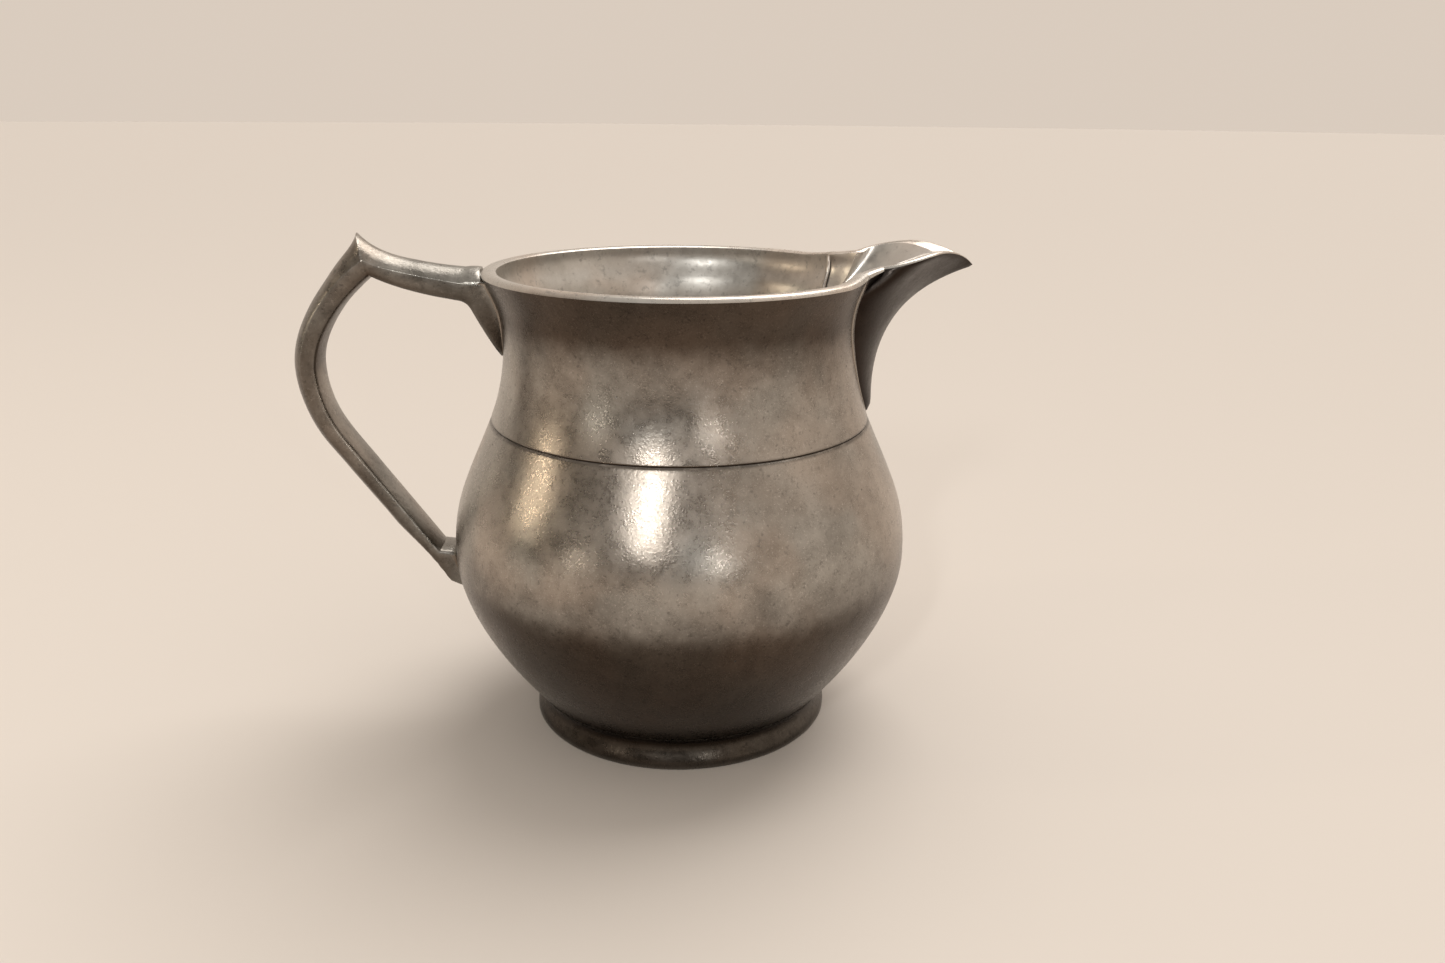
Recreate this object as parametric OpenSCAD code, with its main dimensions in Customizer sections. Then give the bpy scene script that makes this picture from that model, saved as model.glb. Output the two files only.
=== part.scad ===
// Cast pewter pitcher with a beak spout and a D handle, about two quarts.
// Frame: +Z up, spout toward +X, handle toward -X. The origin is on the table, midway between the
// spout's tip and the handle's back, so the body's own axis stands a little toward the spout.

/* [Body] */
// Height of the rim above the table
rim_height = 160; // [158:0.5:162]
// Largest outer radius of the belly
belly_radius = 79; // [78:0.5:80]
// Height at which the belly is widest
belly_height = 63; // [61:0.5:65]
// Outer radius of the foot's bottom edge
foot_radius = 53; // [52.5:0.25:54]
// Height of the foot ring
foot_height = 9.5; // [9:0.25:10]
// Outer radius where the foot meets the belly
foot_waist_radius = 51; // [50.5:0.25:51.5]
// Outer radius at the shoulder seam
shoulder_radius = 64.9; // [64.5:0.1:65.3]
// Height of the shoulder seam
shoulder_height = 109.6; // [109:0.2:110.4]
// Smallest outer radius of the neck
waist_radius = 59.4; // [59:0.1:60]
// Height of the neck's smallest radius
waist_height = 138; // [136:0.5:140]
// Outer radius of the rim
rim_radius = 65.7; // [65:0.1:66.4]
// Thickness of the cast walls
wall = 3; // [2.6:0.1:3.4]

/* [Base] */
// Width of the ledge that carries the base disc
ledge_width = 6; // [5:0.5:8]
// Thickness of the ledge and of the base disc
base_thickness = 2.5; // [2:0.25:3]

/* [Spout] */
// Reach of the spout's tip from the body's axis
spout_reach = 99.7; // [97:0.5:102]
// Height of the spout's tip
tip_height = 160.9; // [159:0.5:163]
// Half the spout's width at the rim
spout_half_width = 23; // [22:0.5:24]
// Thickness of the spout's wall
spout_wall = 2.6; // [2.2:0.1:3]
// Half-angle that the spout spans on the neck at the rim
spout_half_angle = 26; // [25:0.5:27]

/* [Handle] */
// Distance from the axis to the handle's inner face at its furthest
grip_reach = 120.8; // [118:0.5:124]
// Width of the strap at the grip
strap_width = 15; // [13:0.5:17]
// Height of the strap's flat sides
side_height = 5.6; // [5:0.1:6.4]
// Height of the strap's rounded outer face
crown_height = 3.1; // [2.6:0.1:3.6]
// Extra height of the thumb rest's peak
peak_rise = 5; // [3:0.5:6]

/* [Seams] */
// Gap that the solder fills at each seam
seam = 0.5; // [0.4:0.05:0.6]
// Depth of the scored line around the shoulder
score_depth = 0.7; // [0.5:0.1:0.9]
// Leg of the solder beads beside the spout and the handle
bead = 1.6; // [1.2:0.1:2]

/* [Hidden] */
$fn = 120;
PEWTER = [0.56, 0.55, 0.53];
PEWTER_DARK = [0.44, 0.43, 0.42];
SOLDER = [0.50, 0.49, 0.48];

half_strap = strap_width / 2;
contact_gap = 0.06;    // clearance between a cast face and the curved body it lies on
ring_width = 5.2;      // width of the foot ring's underside
disc_radius = foot_waist_radius - 2.4;
handle_reach = grip_reach + side_height - 0.4 + crown_height;
axis_x = (handle_reach - spout_reach) / 2;    // where the body's axis stands; shapes are drawn about it

// ---------- curves ----------

// Points along a cubic curve from a to d, pulled toward b and c.
function curve(a, b, c, d, n) =
    [for (i = [0:n]) let (t = i / n, s = 1 - t)
        s*s*s * a + 3*s*s*t * b + 3*s*t*t * c + t*t*t * d];

// Unit vector at an angle in degrees.
function heading(angle) = [cos(angle), sin(angle)];

// Unit direction of a path at point i.
function tangent(path, i) =
    let (a = path[max(i - 1, 0)], b = path[min(i + 1, len(path) - 1)])
    (b - a) / norm(b - a);

// A path moved sideways, toward its left for a positive distance.
function beside(path, distance) =
    [for (i = [0:len(path) - 1]) let (t = tangent(path, i))
        path[i] + distance * [-t[1], t[0]]];

function reversed(list) = [for (i = [len(list) - 1:-1:0]) list[i]];
function smooth(t) = let (c = min(max(t, 0), 1)) c*c * (3 - 2*c);
function blend(a, b, t) = a + (b - a) * t;

// ---------- body outline, as [radius, height] ----------

FOOT_TOP = [foot_waist_radius, foot_height];
BELLY = [belly_radius, belly_height];
SHOULDER = [shoulder_radius, shoulder_height];
WAIST = [waist_radius, waist_height];
LIP_EDGE = [rim_radius, rim_height - 1.6];

belly_low = curve(FOOT_TOP, FOOT_TOP + 7 * heading(46), BELLY - [0, 20.8], BELLY, 16);
belly_high = curve(BELLY, BELLY + [0, 18.7], SHOULDER + 25.4 * heading(-66.6), SHOULDER, 14);
belly_path = concat(belly_low, [for (i = [1:14]) belly_high[i]]);
neck_low = curve(SHOULDER, SHOULDER + 1.3 * heading(103.5), WAIST - [0, 16.4], WAIST, 12);
neck_high = curve(WAIST, WAIST + [0, 8.5], LIP_EDGE - 9 * heading(62), LIP_EDGE, 10);
neck_path = concat(neck_low, [for (i = [1:10]) neck_high[i]]);

// Outer radius of the neck and of the belly at a height.
function neck_radius(z) = lookup(z, [for (p = neck_path) [p[1], p[0]]]);
function belly_radius_at(z) = lookup(z, [for (p = belly_path) [p[1], p[0]]]);

// The part of a path between two heights, with its end points worked out.
function trimmed(path, low, high) =
    let (table = [for (p = path) [p[1], p[0]]])
    concat([[lookup(low, table), low]],
           [for (p = path) if (p[1] > low + 0.2 && p[1] < high - 0.2) p],
           [[lookup(high, table), high]]);

// ---------- turned pieces ----------

module turned(outline) {
    translate([axis_x, 0, 0]) rotate_extrude() polygon(outline);
}

module belly_shell() {
    top = shoulder_height - seam / 2;
    outer = trimmed(belly_path, foot_height, top);
    inner = trimmed(beside(belly_path, wall), foot_height + base_thickness, top);
    ledge = foot_waist_radius - ledge_width;
    color(PEWTER) turned(concat(
        [[ledge, foot_height]], outer, reversed(inner), [[ledge, foot_height + base_thickness]]));
}

module neck_shell() {
    bottom = shoulder_height + seam / 2;
    outer = trimmed(neck_path, bottom, LIP_EDGE[1]);
    inner = trimmed(beside(neck_path, wall), bottom, rim_height - 6);
    lip_width = 4.2;
    lip_inner = rim_radius - lip_width;
    lip_round = 1.6;
    outer_round = [for (a = [20:20:80])
        [rim_radius - lip_round, rim_height - lip_round] + lip_round * heading(a)];
    inner_round = [for (a = [100:20:180])
        [lip_inner + lip_round, rim_height - lip_round] + lip_round * heading(a)];
    color(PEWTER) difference() {
        turned(concat(outer, outer_round, inner_round, reversed(inner)));
        spout_opening();
    }
}

module foot_ring() {
    edge_round = 0.9;
    bottom_edge = [for (a = [-90:30:0])
        [foot_radius - edge_round, edge_round] + edge_round * heading(a)];
    inner_edge = [for (a = [180:30:270])
        [foot_radius - ring_width + edge_round, edge_round] + edge_round * heading(a)];
    top = foot_height - seam;
    flare = curve([foot_radius, edge_round], [foot_radius - 0.6, 4.5],
                  [foot_waist_radius - 0.7, 6], [foot_waist_radius - 0.2, top], 8);
    color(PEWTER) turned(concat(inner_edge, bottom_edge,
        [for (i = [1:8]) flare[i]], [[foot_radius - ring_width, top]]));
}

module base_disc() {
    color(PEWTER_DARK) translate([axis_x, 0, foot_height + base_thickness])
        cylinder(r = disc_radius, h = base_thickness);
}

module shoulder_solder() {
    inner = shoulder_radius - wall * 1.05;
    color(SOLDER) translate([0, 0, shoulder_height - seam / 2])
        turned([[inner, 0], [shoulder_radius - score_depth, 0],
                [shoulder_radius - score_depth, seam], [inner, seam]]);
}

module foot_solder() {
    inner = foot_radius - ring_width + 0.6;
    outer = foot_waist_radius - 0.5;
    color(SOLDER) translate([0, 0, foot_height - seam])
        turned([[inner, 0], [outer, 0], [outer, seam], [inner, seam]]);
}

module base_solder() {
    low = foot_height + base_thickness;
    high = low + base_thickness;
    wall_inside = trimmed(beside(belly_path, wall), low, high);
    color(SOLDER) turned(concat([[disc_radius, low]], wall_inside, [[disc_radius, high]]));
}

// ---------- spout ----------

spout_bottom = shoulder_height + 0.6;
spout_corner = rim_height - 2;
inner_lift = 5;        // how much higher the channel starts than the spout's outside
spout_climb = 48;      // height over which the spout opens to its full angle

// Half-angle of the spout's outside on the neck at a height, and of its channel.
function spout_angle(z, lift) =
    let (part = min(max((z - spout_bottom - lift) / spout_climb, 0.02), 1))
    (spout_half_angle - lift / 8) * (1 - pow(1 - part, 1.42));
function on_neck(z, lift) =
    let (r = neck_radius(z) + contact_gap, a = spout_angle(z, lift))
    [r * cos(a), r * sin(a), z];

// The keel along the spout's underside, as [reach, height].
KEEL_FOOT = [neck_radius(spout_bottom) + contact_gap, spout_bottom];
KEEL_RISE = [shoulder_radius + 1.8, shoulder_height + 9];
KEEL_TIP = [spout_reach - 0.4, tip_height - 0.9];
keel_low = curve(KEEL_FOOT, KEEL_FOOT + [0.9, 2.5], KEEL_RISE - [0, 3], KEEL_RISE, 4);
keel_high = curve(KEEL_RISE, KEEL_RISE + [0.2, 24], KEEL_TIP - [19.5, 6.2], KEEL_TIP, 16);
keel = concat(keel_low, [for (i = [1:16]) keel_high[i]]);

// The lip's edge from the rim to the tip, as [reach, half width, height].
LIP_START = [rim_radius + 0.8, spout_half_width, rim_height + 3.3];
LIP_TIP = [spout_reach, 0.7, tip_height];
edge_rise = curve(on_neck(spout_corner, 0), on_neck(spout_corner, 0) + [1.5, -2.5, 2],
                  LIP_START - [3, -0.6, 1.4], LIP_START, 3);
edge_beak = curve(LIP_START, LIP_START + [10, 3.5, 2.9], LIP_TIP + [-13.7, 16.3, 10],
                  LIP_TIP, 10);
edge_low = [for (i = [0:7]) on_neck(blend(spout_bottom, spout_corner, i / 7), 0)];
edge = concat(edge_low, [for (i = [1:3]) edge_rise[i]], [for (i = [1:10]) edge_beak[i]]);

// The same lines for the channel inside the wall.
CHANNEL_FOOT = [neck_radius(spout_bottom + inner_lift) + contact_gap, spout_bottom + inner_lift];
CHANNEL_RISE = KEEL_RISE - [spout_wall - 0.3, -1];
CHANNEL_TIP = [spout_reach - 4.4, tip_height - 0.8];
channel_low = curve(CHANNEL_FOOT, CHANNEL_FOOT + [0.1, 1.2], CHANNEL_RISE - [0.1, 1.4], CHANNEL_RISE, 4);
channel_high = curve(CHANNEL_RISE, CHANNEL_RISE + [0.2, 24], CHANNEL_TIP - [17, 5.2], CHANNEL_TIP, 16);
channel = concat(channel_low, [for (i = [1:16]) channel_high[i]]);
function inward(p) =
    [p[0] - spout_wall * smooth((p[0] - 80) / 20) * 1.6, max(p[1] - spout_wall, 0.25), p[2]];
edge_inside = concat(
    [for (i = [0:7]) on_neck(blend(spout_bottom + inner_lift, spout_corner, i / 7), inner_lift)],
    [for (i = [1:3]) inward(edge_rise[i])],
    [for (i = [1:10]) inward(edge_beak[i])]);

// A rib from the near edge round the keel to the far edge.
rib_steps = 12;
function rib(k, e) =
    [for (j = [-rib_steps / 2:rib_steps / 2])
        let (v = 2 * j / rib_steps, side = sign(v), w = abs(v),
             out = blend(w, sin(90 * w), 0.55),
             up = blend(w, 1 - cos(90 * w), 0.75))
        [blend(k[0], e[0], up), side * e[1] * out, blend(k[1], e[2], up)]];

spout_outer = [for (i = [0:20]) rib(keel[i], edge[i])];
spout_inner = [for (i = [0:20]) rib(channel[i], edge_inside[i])];

// A closed skin from rows of points: the outer rows, and the inner rows facing back.
module walled(outer, inner) {
    rows = len(outer);
    cols = len(outer[0]);
    points = concat([for (row = outer) each row], [for (row = inner) each row]);
    function at(i, j) = i * cols + j;
    function back(i, j) = (rows + i) * cols + j;
    faces = concat(
        [for (i = [0:rows - 2], j = [0:cols - 2]) each
            [[at(i, j), at(i + 1, j), at(i + 1, j + 1)], [at(i, j), at(i + 1, j + 1), at(i, j + 1)],
             [back(i, j), back(i + 1, j + 1), back(i + 1, j)],
             [back(i, j), back(i, j + 1), back(i + 1, j + 1)]]],
        [for (i = [0:rows - 2]) each
            [[at(i, 0), back(i, 0), back(i + 1, 0)], [at(i, 0), back(i + 1, 0), at(i + 1, 0)],
             [at(i, cols - 1), back(i + 1, cols - 1), back(i, cols - 1)],
             [at(i, cols - 1), at(i + 1, cols - 1), back(i + 1, cols - 1)]]],
        [for (j = [0:cols - 2]) each
            [[at(0, j), at(0, j + 1), back(0, j + 1)], [at(0, j), back(0, j + 1), back(0, j)],
             [at(rows - 1, j), back(rows - 1, j + 1), at(rows - 1, j + 1)],
             [at(rows - 1, j), back(rows - 1, j), back(rows - 1, j + 1)]]]);
    translate([axis_x, 0, 0]) polyhedron(points = points, faces = faces);
}

module spout() {
    color(PEWTER) walled(spout_outer, spout_inner);
}

// The V that is cut through the neck's wall behind the spout.
module spout_opening() {
    heights = [for (i = [0:10]) blend(spout_bottom + inner_lift + 0.4, spout_corner, i / 10)];
    half = [for (z = heights) let (p = on_neck(z, inner_lift + 0.4)) [p[1] + 0.01, z]];
    top = [[half[10][0], rim_height + 1]];
    right = concat(half, top);
    left = [for (p = reversed(right)) [-p[0], p[1]]];
    translate([axis_x + waist_radius / 2, 0, 0]) rotate([90, 0, 90])
        linear_extrude(height = waist_radius) polygon(concat(right, left));
}

// ---------- handle, as [distance from the axis, height] in the plane of the jug ----------

TAIL_TIP = [waist_radius + 0.9, rim_height - 29.5];
TAIL_TOP = [waist_radius + 9.4, rim_height - 13.6];
STRAP_FOOT = [waist_radius + 13.2, rim_height - 10.2];
CORNER = [grip_reach - 19.8, rim_height - 2];
GRIP = [grip_reach, belly_height + 64];
GRIP_END = [grip_reach - 8.2, belly_height + 39.5];
SHANK_END = [belly_radius + 5.4, belly_height - 0.4];
MITRE = 71.5;          // heading of the crease through the thumb rest
JOINT_TOP = belly_height - 1.5;
JOINT_BOTTOM = belly_height - 16.6;

tail = curve(TAIL_TIP, TAIL_TIP + [2.6, 4], TAIL_TOP - [2.2, 4.4], TAIL_TOP, 4);
elbow = curve(TAIL_TOP, TAIL_TOP + [1, 2], STRAP_FOOT - [1.8, 0.5], STRAP_FOOT, 3);
strap = curve(STRAP_FOOT, STRAP_FOOT + [9, 1.5], CORNER - [8, 4.2], CORNER, 8);
grip_high = curve(CORNER, CORNER + [7, -5.3], GRIP + [-0.3, 13], GRIP, 10);
grip_low = curve(GRIP, GRIP - [0, 10], GRIP_END + [4.6, 6.5], GRIP_END, 5);
shank = [for (i = [0:5]) blend(GRIP_END, SHANK_END, i / 5)];

// Sizes of the section along the handle: 0 at the rim, 1 at the peak, 2 at the grip, 3 at the end.
function side_at(s) = lookup(s, [[0, side_height + 0.6], [1, side_height + 0.2],
                                 [2, side_height - 0.4], [2.4, side_height - 1],
                                 [2.8, side_height - 1.1], [3, side_height - 2]]);
function crown_at(s, from_peak) =
    lookup(s, [[0, crown_height + 1.2], [0.4, crown_height + 0.5], [1, crown_height],
               [2, crown_height], [2.8, crown_height - 0.6], [3, crown_height - 1]])
    + peak_rise * exp(-from_peak / 5);
function outward(path, i) = let (t = tangent(path, i)) atan2(t[0], -t[1]);

// One cross-section as [outward, across]: a ridged inner face, flat sides and a round crown.
crown_angles = [22.5:22.5:157.5];
function section(half, side, crown) =
    concat([[-0.45, 0], [-0.2, half * 0.5], [0.1, half - 0.9], [0.9, half], [side, half]],
           [for (a = crown_angles) [side + crown * sin(a), half * cos(a)]],
           [[side, -half], [0.9, -half], [0.1, 0.9 - half], [-0.2, -half * 0.5]]);
function placed(inner, angle, half, side, crown) =
    [for (p = section(half, side, crown)) let (q = inner + p[0] * heading(angle))
        [-q[0], p[1], q[1]]];

// How far from an inner point the neck's surface lies, for a point off the middle plane.
function outside_neck(inner, angle, y, a) =
    let (q = inner + a * heading(angle))
    q[1] < rim_height - 0.5
    && norm([q[0], y]) > neck_radius(min(q[1], LIP_EDGE[1])) + contact_gap;
function reach_neck(inner, angle, y, low = 0, high = 16, tries = 14) =
    tries == 0 ? low :
    outside_neck(inner, angle, y, (low + high) / 2)
        ? reach_neck(inner, angle, y, (low + high) / 2, high, tries - 1)
        : reach_neck(inner, angle, y, low, (low + high) / 2, tries - 1);

// A cross-section whose outer side lies on the neck.
function pressed(inner, angle, half) =
    let (edge_reach = reach_neck(inner, angle, half), soft = min(0.45, edge_reach / 3),
         flat = concat(
            [[-soft, 0], [-soft / 2, half * 0.5], [0, half - soft], [soft, half], [edge_reach, half]],
            [for (a = crown_angles) [reach_neck(inner, angle, half * cos(a)), half * cos(a)]],
            [[edge_reach, -half], [soft, -half], [0, soft - half], [-soft / 2, -half * 0.5]]))
    [for (p = flat) let (q = inner + p[0] * heading(angle)) [-q[0], p[1], q[1]]];

// The last cross-section, flat on the belly between two heights.
function on_belly(z, y) =
    let (r = belly_radius_at(z) + contact_gap) [-sqrt(r * r - y * y), y, z];
function foot_print(side, crown) =
    [for (p = section(half_strap, side, crown))
        on_belly(blend(JOINT_TOP, JOINT_BOTTOM, (p[0] + 0.45) / (side + crown + 0.45)), p[1])];

tail_sections = concat(
    [for (i = [0:4]) pressed(tail[i], blend(150, 124, i / 4), half_strap * (0.3 + 0.7 * sin(22.5 * i)))],
    [pressed(elbow[1], 117, half_strap), pressed(elbow[2], 109, half_strap)]);
strap_sections = [for (i = [0:8])
    placed(strap[i], blend(99, MITRE, smooth(i / 8)), half_strap,
           side_at(i / 8), crown_at(i / 8, norm(strap[i] - CORNER)))];
grip_sections = [for (i = [1:10]) let (away = norm(grip_high[i] - CORNER))
    placed(grip_high[i], blend(MITRE, outward(grip_high, i), smooth(away / 10)), half_strap,
           side_at(1 + i / 10), crown_at(1 + i / 10, away))];
low_sections = [for (i = [1:5])
    placed(grip_low[i], outward(grip_low, i), half_strap, side_at(2 + i / 12), crown_at(2 + i / 12, 60))];
shank_sections = [for (i = [1:5])
    placed(shank[i], outward(shank, 1), half_strap,
           side_at(2.4 + 0.12 * i), crown_at(2.4 + 0.12 * i, 60))];
// The lower end turns down the belly, each section longer and steeper than the one before.
end_sections = concat(
    [for (turn = [[[2.2, 0.2], -54.6, 1.9], [[3.8, 0.4], -68.8, 4.3], [[4.8, 0.7], -81, 7.1]])
        placed(SHANK_END - turn[0], turn[1], half_strap, side_at(3) + turn[2], crown_at(3, 60))],
    [foot_print(side_at(3) + 8.9, crown_at(3, 60))]);
handle_sections = concat(tail_sections, strap_sections, grip_sections, low_sections,
                         shank_sections, end_sections);

// A closed tube through cross-sections with the same number of points each, or a closed loop.
module swept(rings, loop = false) {
    rows = len(rings);
    n = len(rings[0]);
    last = (rows - 1) * n;
    side_faces = [for (i = [0:rows - (loop ? 1 : 2)], j = [0:n - 1])
        let (k = (j + 1) % n, m = (i + 1) % rows) each
            [[i * n + j, i * n + k, m * n + k], [i * n + j, m * n + k, m * n + j]]];
    caps = concat([for (j = [1:n - 2]) [0, j + 1, j]],
                  [for (j = [1:n - 2]) [last, last + j, last + j + 1]]);
    translate([axis_x, 0, 0])
        polyhedron(points = [for (ring = rings) each ring],
                   faces = loop ? side_faces : concat(side_faces, caps));
}

module handle() {
    color(PEWTER) swept(handle_sections);
}

// ---------- solder beads, three-sided strips along each joint ----------

// A point a given distance from a toward b.
function toward(a, b, distance) = a + distance * (b - a) / max(norm(b - a), 0.01);

// The neck's and the belly's surface beside a point, moved round and up by small amounts.
function beside_on_neck(p, around, up) =
    let (z = p[2] + up, r = neck_radius(z) + contact_gap, a = atan2(p[1], p[0]) + around / r * 180 / PI)
    [r * cos(a), r * sin(a), z];
function beside_on_belly(p, around, up) =
    let (z = p[2] + up, r = belly_radius_at(z) + contact_gap, y = p[1] + around)
    [-sqrt(r * r - y * y), y, z];

// A bead's section beside the spout: corner, point out on the neck, point proud of the spout's wall.
function bead_section(e, way, wall_point) =
    let (a = atan2(e[1], e[0]), rise = toward(e, wall_point, bead * 0.7))
    [e, beside_on_neck(e, way * bead, 0), rise + 0.45 * [cos(a), sin(a), 0]];
spout_bead = concat(
    [for (i = [7:-1:1]) bead_section(spout_outer[i][0], -1, spout_outer[i + 1][1])],
    [let (foot = spout_outer[0][rib_steps / 2])
        [foot, beside_on_neck(foot, 0, -bead * 0.4), foot + bead * [0.4, 0, 0.2]]],
    [for (i = [1:7]) bead_section(spout_outer[i][rib_steps], 1, spout_outer[i + 1][rib_steps - 1])]);

// Around the handle's tail on the neck: corner, point up the handle, point out on the neck.
near_edge = 12;
far_edge = 4;
function tail_bead(i, index, next, way) =
    let (c = tail_sections[i][index])
    [c, toward(c, tail_sections[i][next], bead * 0.6), beside_on_neck(c, way * bead, 0)];
tip_middle = tail_sections[0][8];
upper_bead = concat(
    [for (i = [5:-1:0]) tail_bead(i, near_edge, near_edge + 1, 1)],
    [[tip_middle, toward(tip_middle, tail_sections[0][0], bead * 0.2),
      beside_on_neck(tip_middle, 0, -bead)]],
    [for (i = [0:5]) tail_bead(i, far_edge, far_edge - 1, -1)]);

// Around the handle's lower end on the belly, fuller on its upper side.
end_print = end_sections[3];
joint_middle = (JOINT_TOP + JOINT_BOTTOM) / 2;
lower_bead = [for (j = [0:len(end_print) - 1])
    let (c = end_print[j], out = [c[1], c[2] - joint_middle], u = out / max(norm(out), 0.01),
         leg = bead * (1 + 0.9 * max(u[1], 0)))
    [c, beside_on_belly(c, leg * u[0], leg * u[1]), toward(c, end_sections[2][j], leg * 0.8)]];

module handle_upper_solder() {
    color(SOLDER) swept(upper_bead);
}

module handle_lower_solder() {
    color(SOLDER) swept(lower_bead, loop = true);
}

module spout_solder() {
    color(SOLDER) swept(spout_bead);
}

belly_shell();
neck_shell();
foot_ring();
base_disc();
spout();
handle();
shoulder_solder();
foot_solder();
base_solder();
spout_solder();
handle_upper_solder();
handle_lower_solder();
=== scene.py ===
import math

import bmesh
import bpy
from mathutils import Matrix, Vector, noise


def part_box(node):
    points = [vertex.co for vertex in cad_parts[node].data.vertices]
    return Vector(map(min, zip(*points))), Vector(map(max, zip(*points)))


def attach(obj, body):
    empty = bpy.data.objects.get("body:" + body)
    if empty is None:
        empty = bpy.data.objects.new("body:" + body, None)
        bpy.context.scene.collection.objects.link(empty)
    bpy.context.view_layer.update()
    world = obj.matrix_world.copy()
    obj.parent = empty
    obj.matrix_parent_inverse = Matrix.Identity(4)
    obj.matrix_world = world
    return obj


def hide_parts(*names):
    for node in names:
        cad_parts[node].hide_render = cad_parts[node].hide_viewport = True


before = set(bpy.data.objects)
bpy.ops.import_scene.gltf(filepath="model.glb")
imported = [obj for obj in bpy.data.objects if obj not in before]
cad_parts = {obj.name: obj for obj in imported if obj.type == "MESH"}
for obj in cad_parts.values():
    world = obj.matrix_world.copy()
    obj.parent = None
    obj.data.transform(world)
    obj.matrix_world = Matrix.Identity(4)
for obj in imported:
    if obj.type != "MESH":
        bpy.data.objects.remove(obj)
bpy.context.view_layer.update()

MM = 0.001


# ---------------------------------------------------------------- sizes, in millimetres

# Shapes are drawn about the body's own axis, which stands at x = AXIS_X in the frame.
AXIS_X = (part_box("belly_shell")[0][0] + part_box("belly_shell")[1][0]) / 2 / MM


def cad_box(node):
    """Lowest and highest corner of a CAD node in millimetres, seen from the body's axis."""
    low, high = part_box(node)
    shift = Vector((AXIS_X, 0, 0))
    return Vector(low) / MM - shift, Vector(high) / MM - shift


RIM_TOP = cad_box("neck_shell")[1].z
RIM_RADIUS = cad_box("neck_shell")[1].y
BELLY_RADIUS = cad_box("belly_shell")[1].x
BELLY_FOOT = cad_box("belly_shell")[0].z
SHOULDER_Z = (cad_box("shoulder_solder")[0].z + cad_box("shoulder_solder")[1].z) / 2
FOOT_RADIUS = cad_box("foot_ring")[1].x
BASE_RADIUS = cad_box("base_disc")[1].x
BASE_LOW, BASE_HIGH = cad_box("base_disc")[0].z, cad_box("base_disc")[1].z
SPOUT_REACH = cad_box("spout")[1].x
GRIP_OUTSIDE = -cad_box("handle")[0].x

WALL = 3.0
BELLY_Z = 63.0            # height of the belly's widest ring
FOOT_WAIST = 51.0         # radius where the belly meets the foot
SHOULDER_RADIUS = 64.9
WAIST_RADIUS, WAIST_Z = 59.4, 138.0
LIP_BAND = 5.0            # width of the thickened rim, seen from above
LIP_DROP_OUT = 1.5        # how far the band's outer edge lies below its crown
LIP_DROP_IN = 0.6


# ---------------------------------------------------------------- small geometry tools

def cubic(a, b, c, d, n):
    """n + 1 points on a cubic curve from a to d, pulled toward b and c."""
    a, b, c, d = Vector(a), Vector(b), Vector(c), Vector(d)
    points = []
    for i in range(n + 1):
        t = i / n
        s = 1 - t
        points.append(a * s ** 3 + b * (3 * s * s * t) + c * (3 * s * t * t) + d * t ** 3)
    return points


def smooth(t):
    t = min(max(t, 0.0), 1.0)
    return t * t * (3 - 2 * t)


def mix(a, b, t):
    return a + (b - a) * t


def heading(angle, length=1.0):
    return Vector((math.cos(math.radians(angle)), math.sin(math.radians(angle)))) * length


def lookup(x, table):
    """Straight-line value of a table of (x, y) pairs in rising x."""
    if x <= table[0][0]:
        return table[0][1]
    for (x0, y0), (x1, y1) in zip(table, table[1:]):
        if x <= x1:
            return y0 + (y1 - y0) * (x - x0) / max(x1 - x0, 1e-9)
    return table[-1][1]


def beside(path, distance):
    """A flat path moved toward its left."""
    moved = []
    for i, p in enumerate(path):
        t = (path[min(i + 1, len(path) - 1)] - path[max(i - 1, 0)]).normalized()
        moved.append(p + distance * Vector((-t.y, t.x)))
    return moved


def evened(path, step):
    """The same path with points about one step apart."""
    lengths = [0.0]
    for a, b in zip(path, path[1:]):
        lengths.append(lengths[-1] + (b - a).length)
    count = max(2, round(lengths[-1] / step))
    out, j = [], 0
    for i in range(count + 1):
        want = lengths[-1] * i / count
        while j < len(path) - 2 and lengths[j + 1] < want:
            j += 1
        part = (want - lengths[j]) / max(lengths[j + 1] - lengths[j], 1e-9)
        out.append(path[j].lerp(path[j + 1], min(max(part, 0), 1)))
    return out


def round_about(radius, azimuth, z):
    a = math.radians(azimuth)
    return Vector((radius * math.cos(a), radius * math.sin(a), z))


SAME_POINT = 0.004        # points closer than this are one
NO_AREA = 1e-7            # faces smaller than this are dropped


def finish_piece(name, bm, metals, nodes, crease=38.0):
    """Turns a bmesh in millimetres into a piece that rides on the body and stands for CAD nodes.

    Edges that bend by more than crease degrees stay sharp.
    """
    bmesh.ops.remove_doubles(bm, verts=bm.verts, dist=SAME_POINT)
    flat = [f for f in bm.faces if f.calc_area() < NO_AREA]
    bmesh.ops.delete(bm, geom=flat, context="FACES_ONLY")
    bmesh.ops.recalc_face_normals(bm, faces=bm.faces)
    for edge in bm.edges:
        edge.smooth = not (edge.is_manifold and edge.calc_face_angle(0) > math.radians(crease))
    for face in bm.faces:
        face.smooth = True
    bmesh.ops.translate(bm, vec=(AXIS_X, 0, 0), verts=bm.verts)
    bmesh.ops.scale(bm, vec=(MM, MM, MM), verts=bm.verts)
    mesh = bpy.data.meshes.new(name)
    bm.to_mesh(mesh)
    bm.free()
    piece = bpy.data.objects.new(name, mesh)
    bpy.context.collection.objects.link(piece)
    for metal in metals:
        mesh.materials.append(metal)
    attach(piece, "root")
    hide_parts(*nodes)


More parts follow.
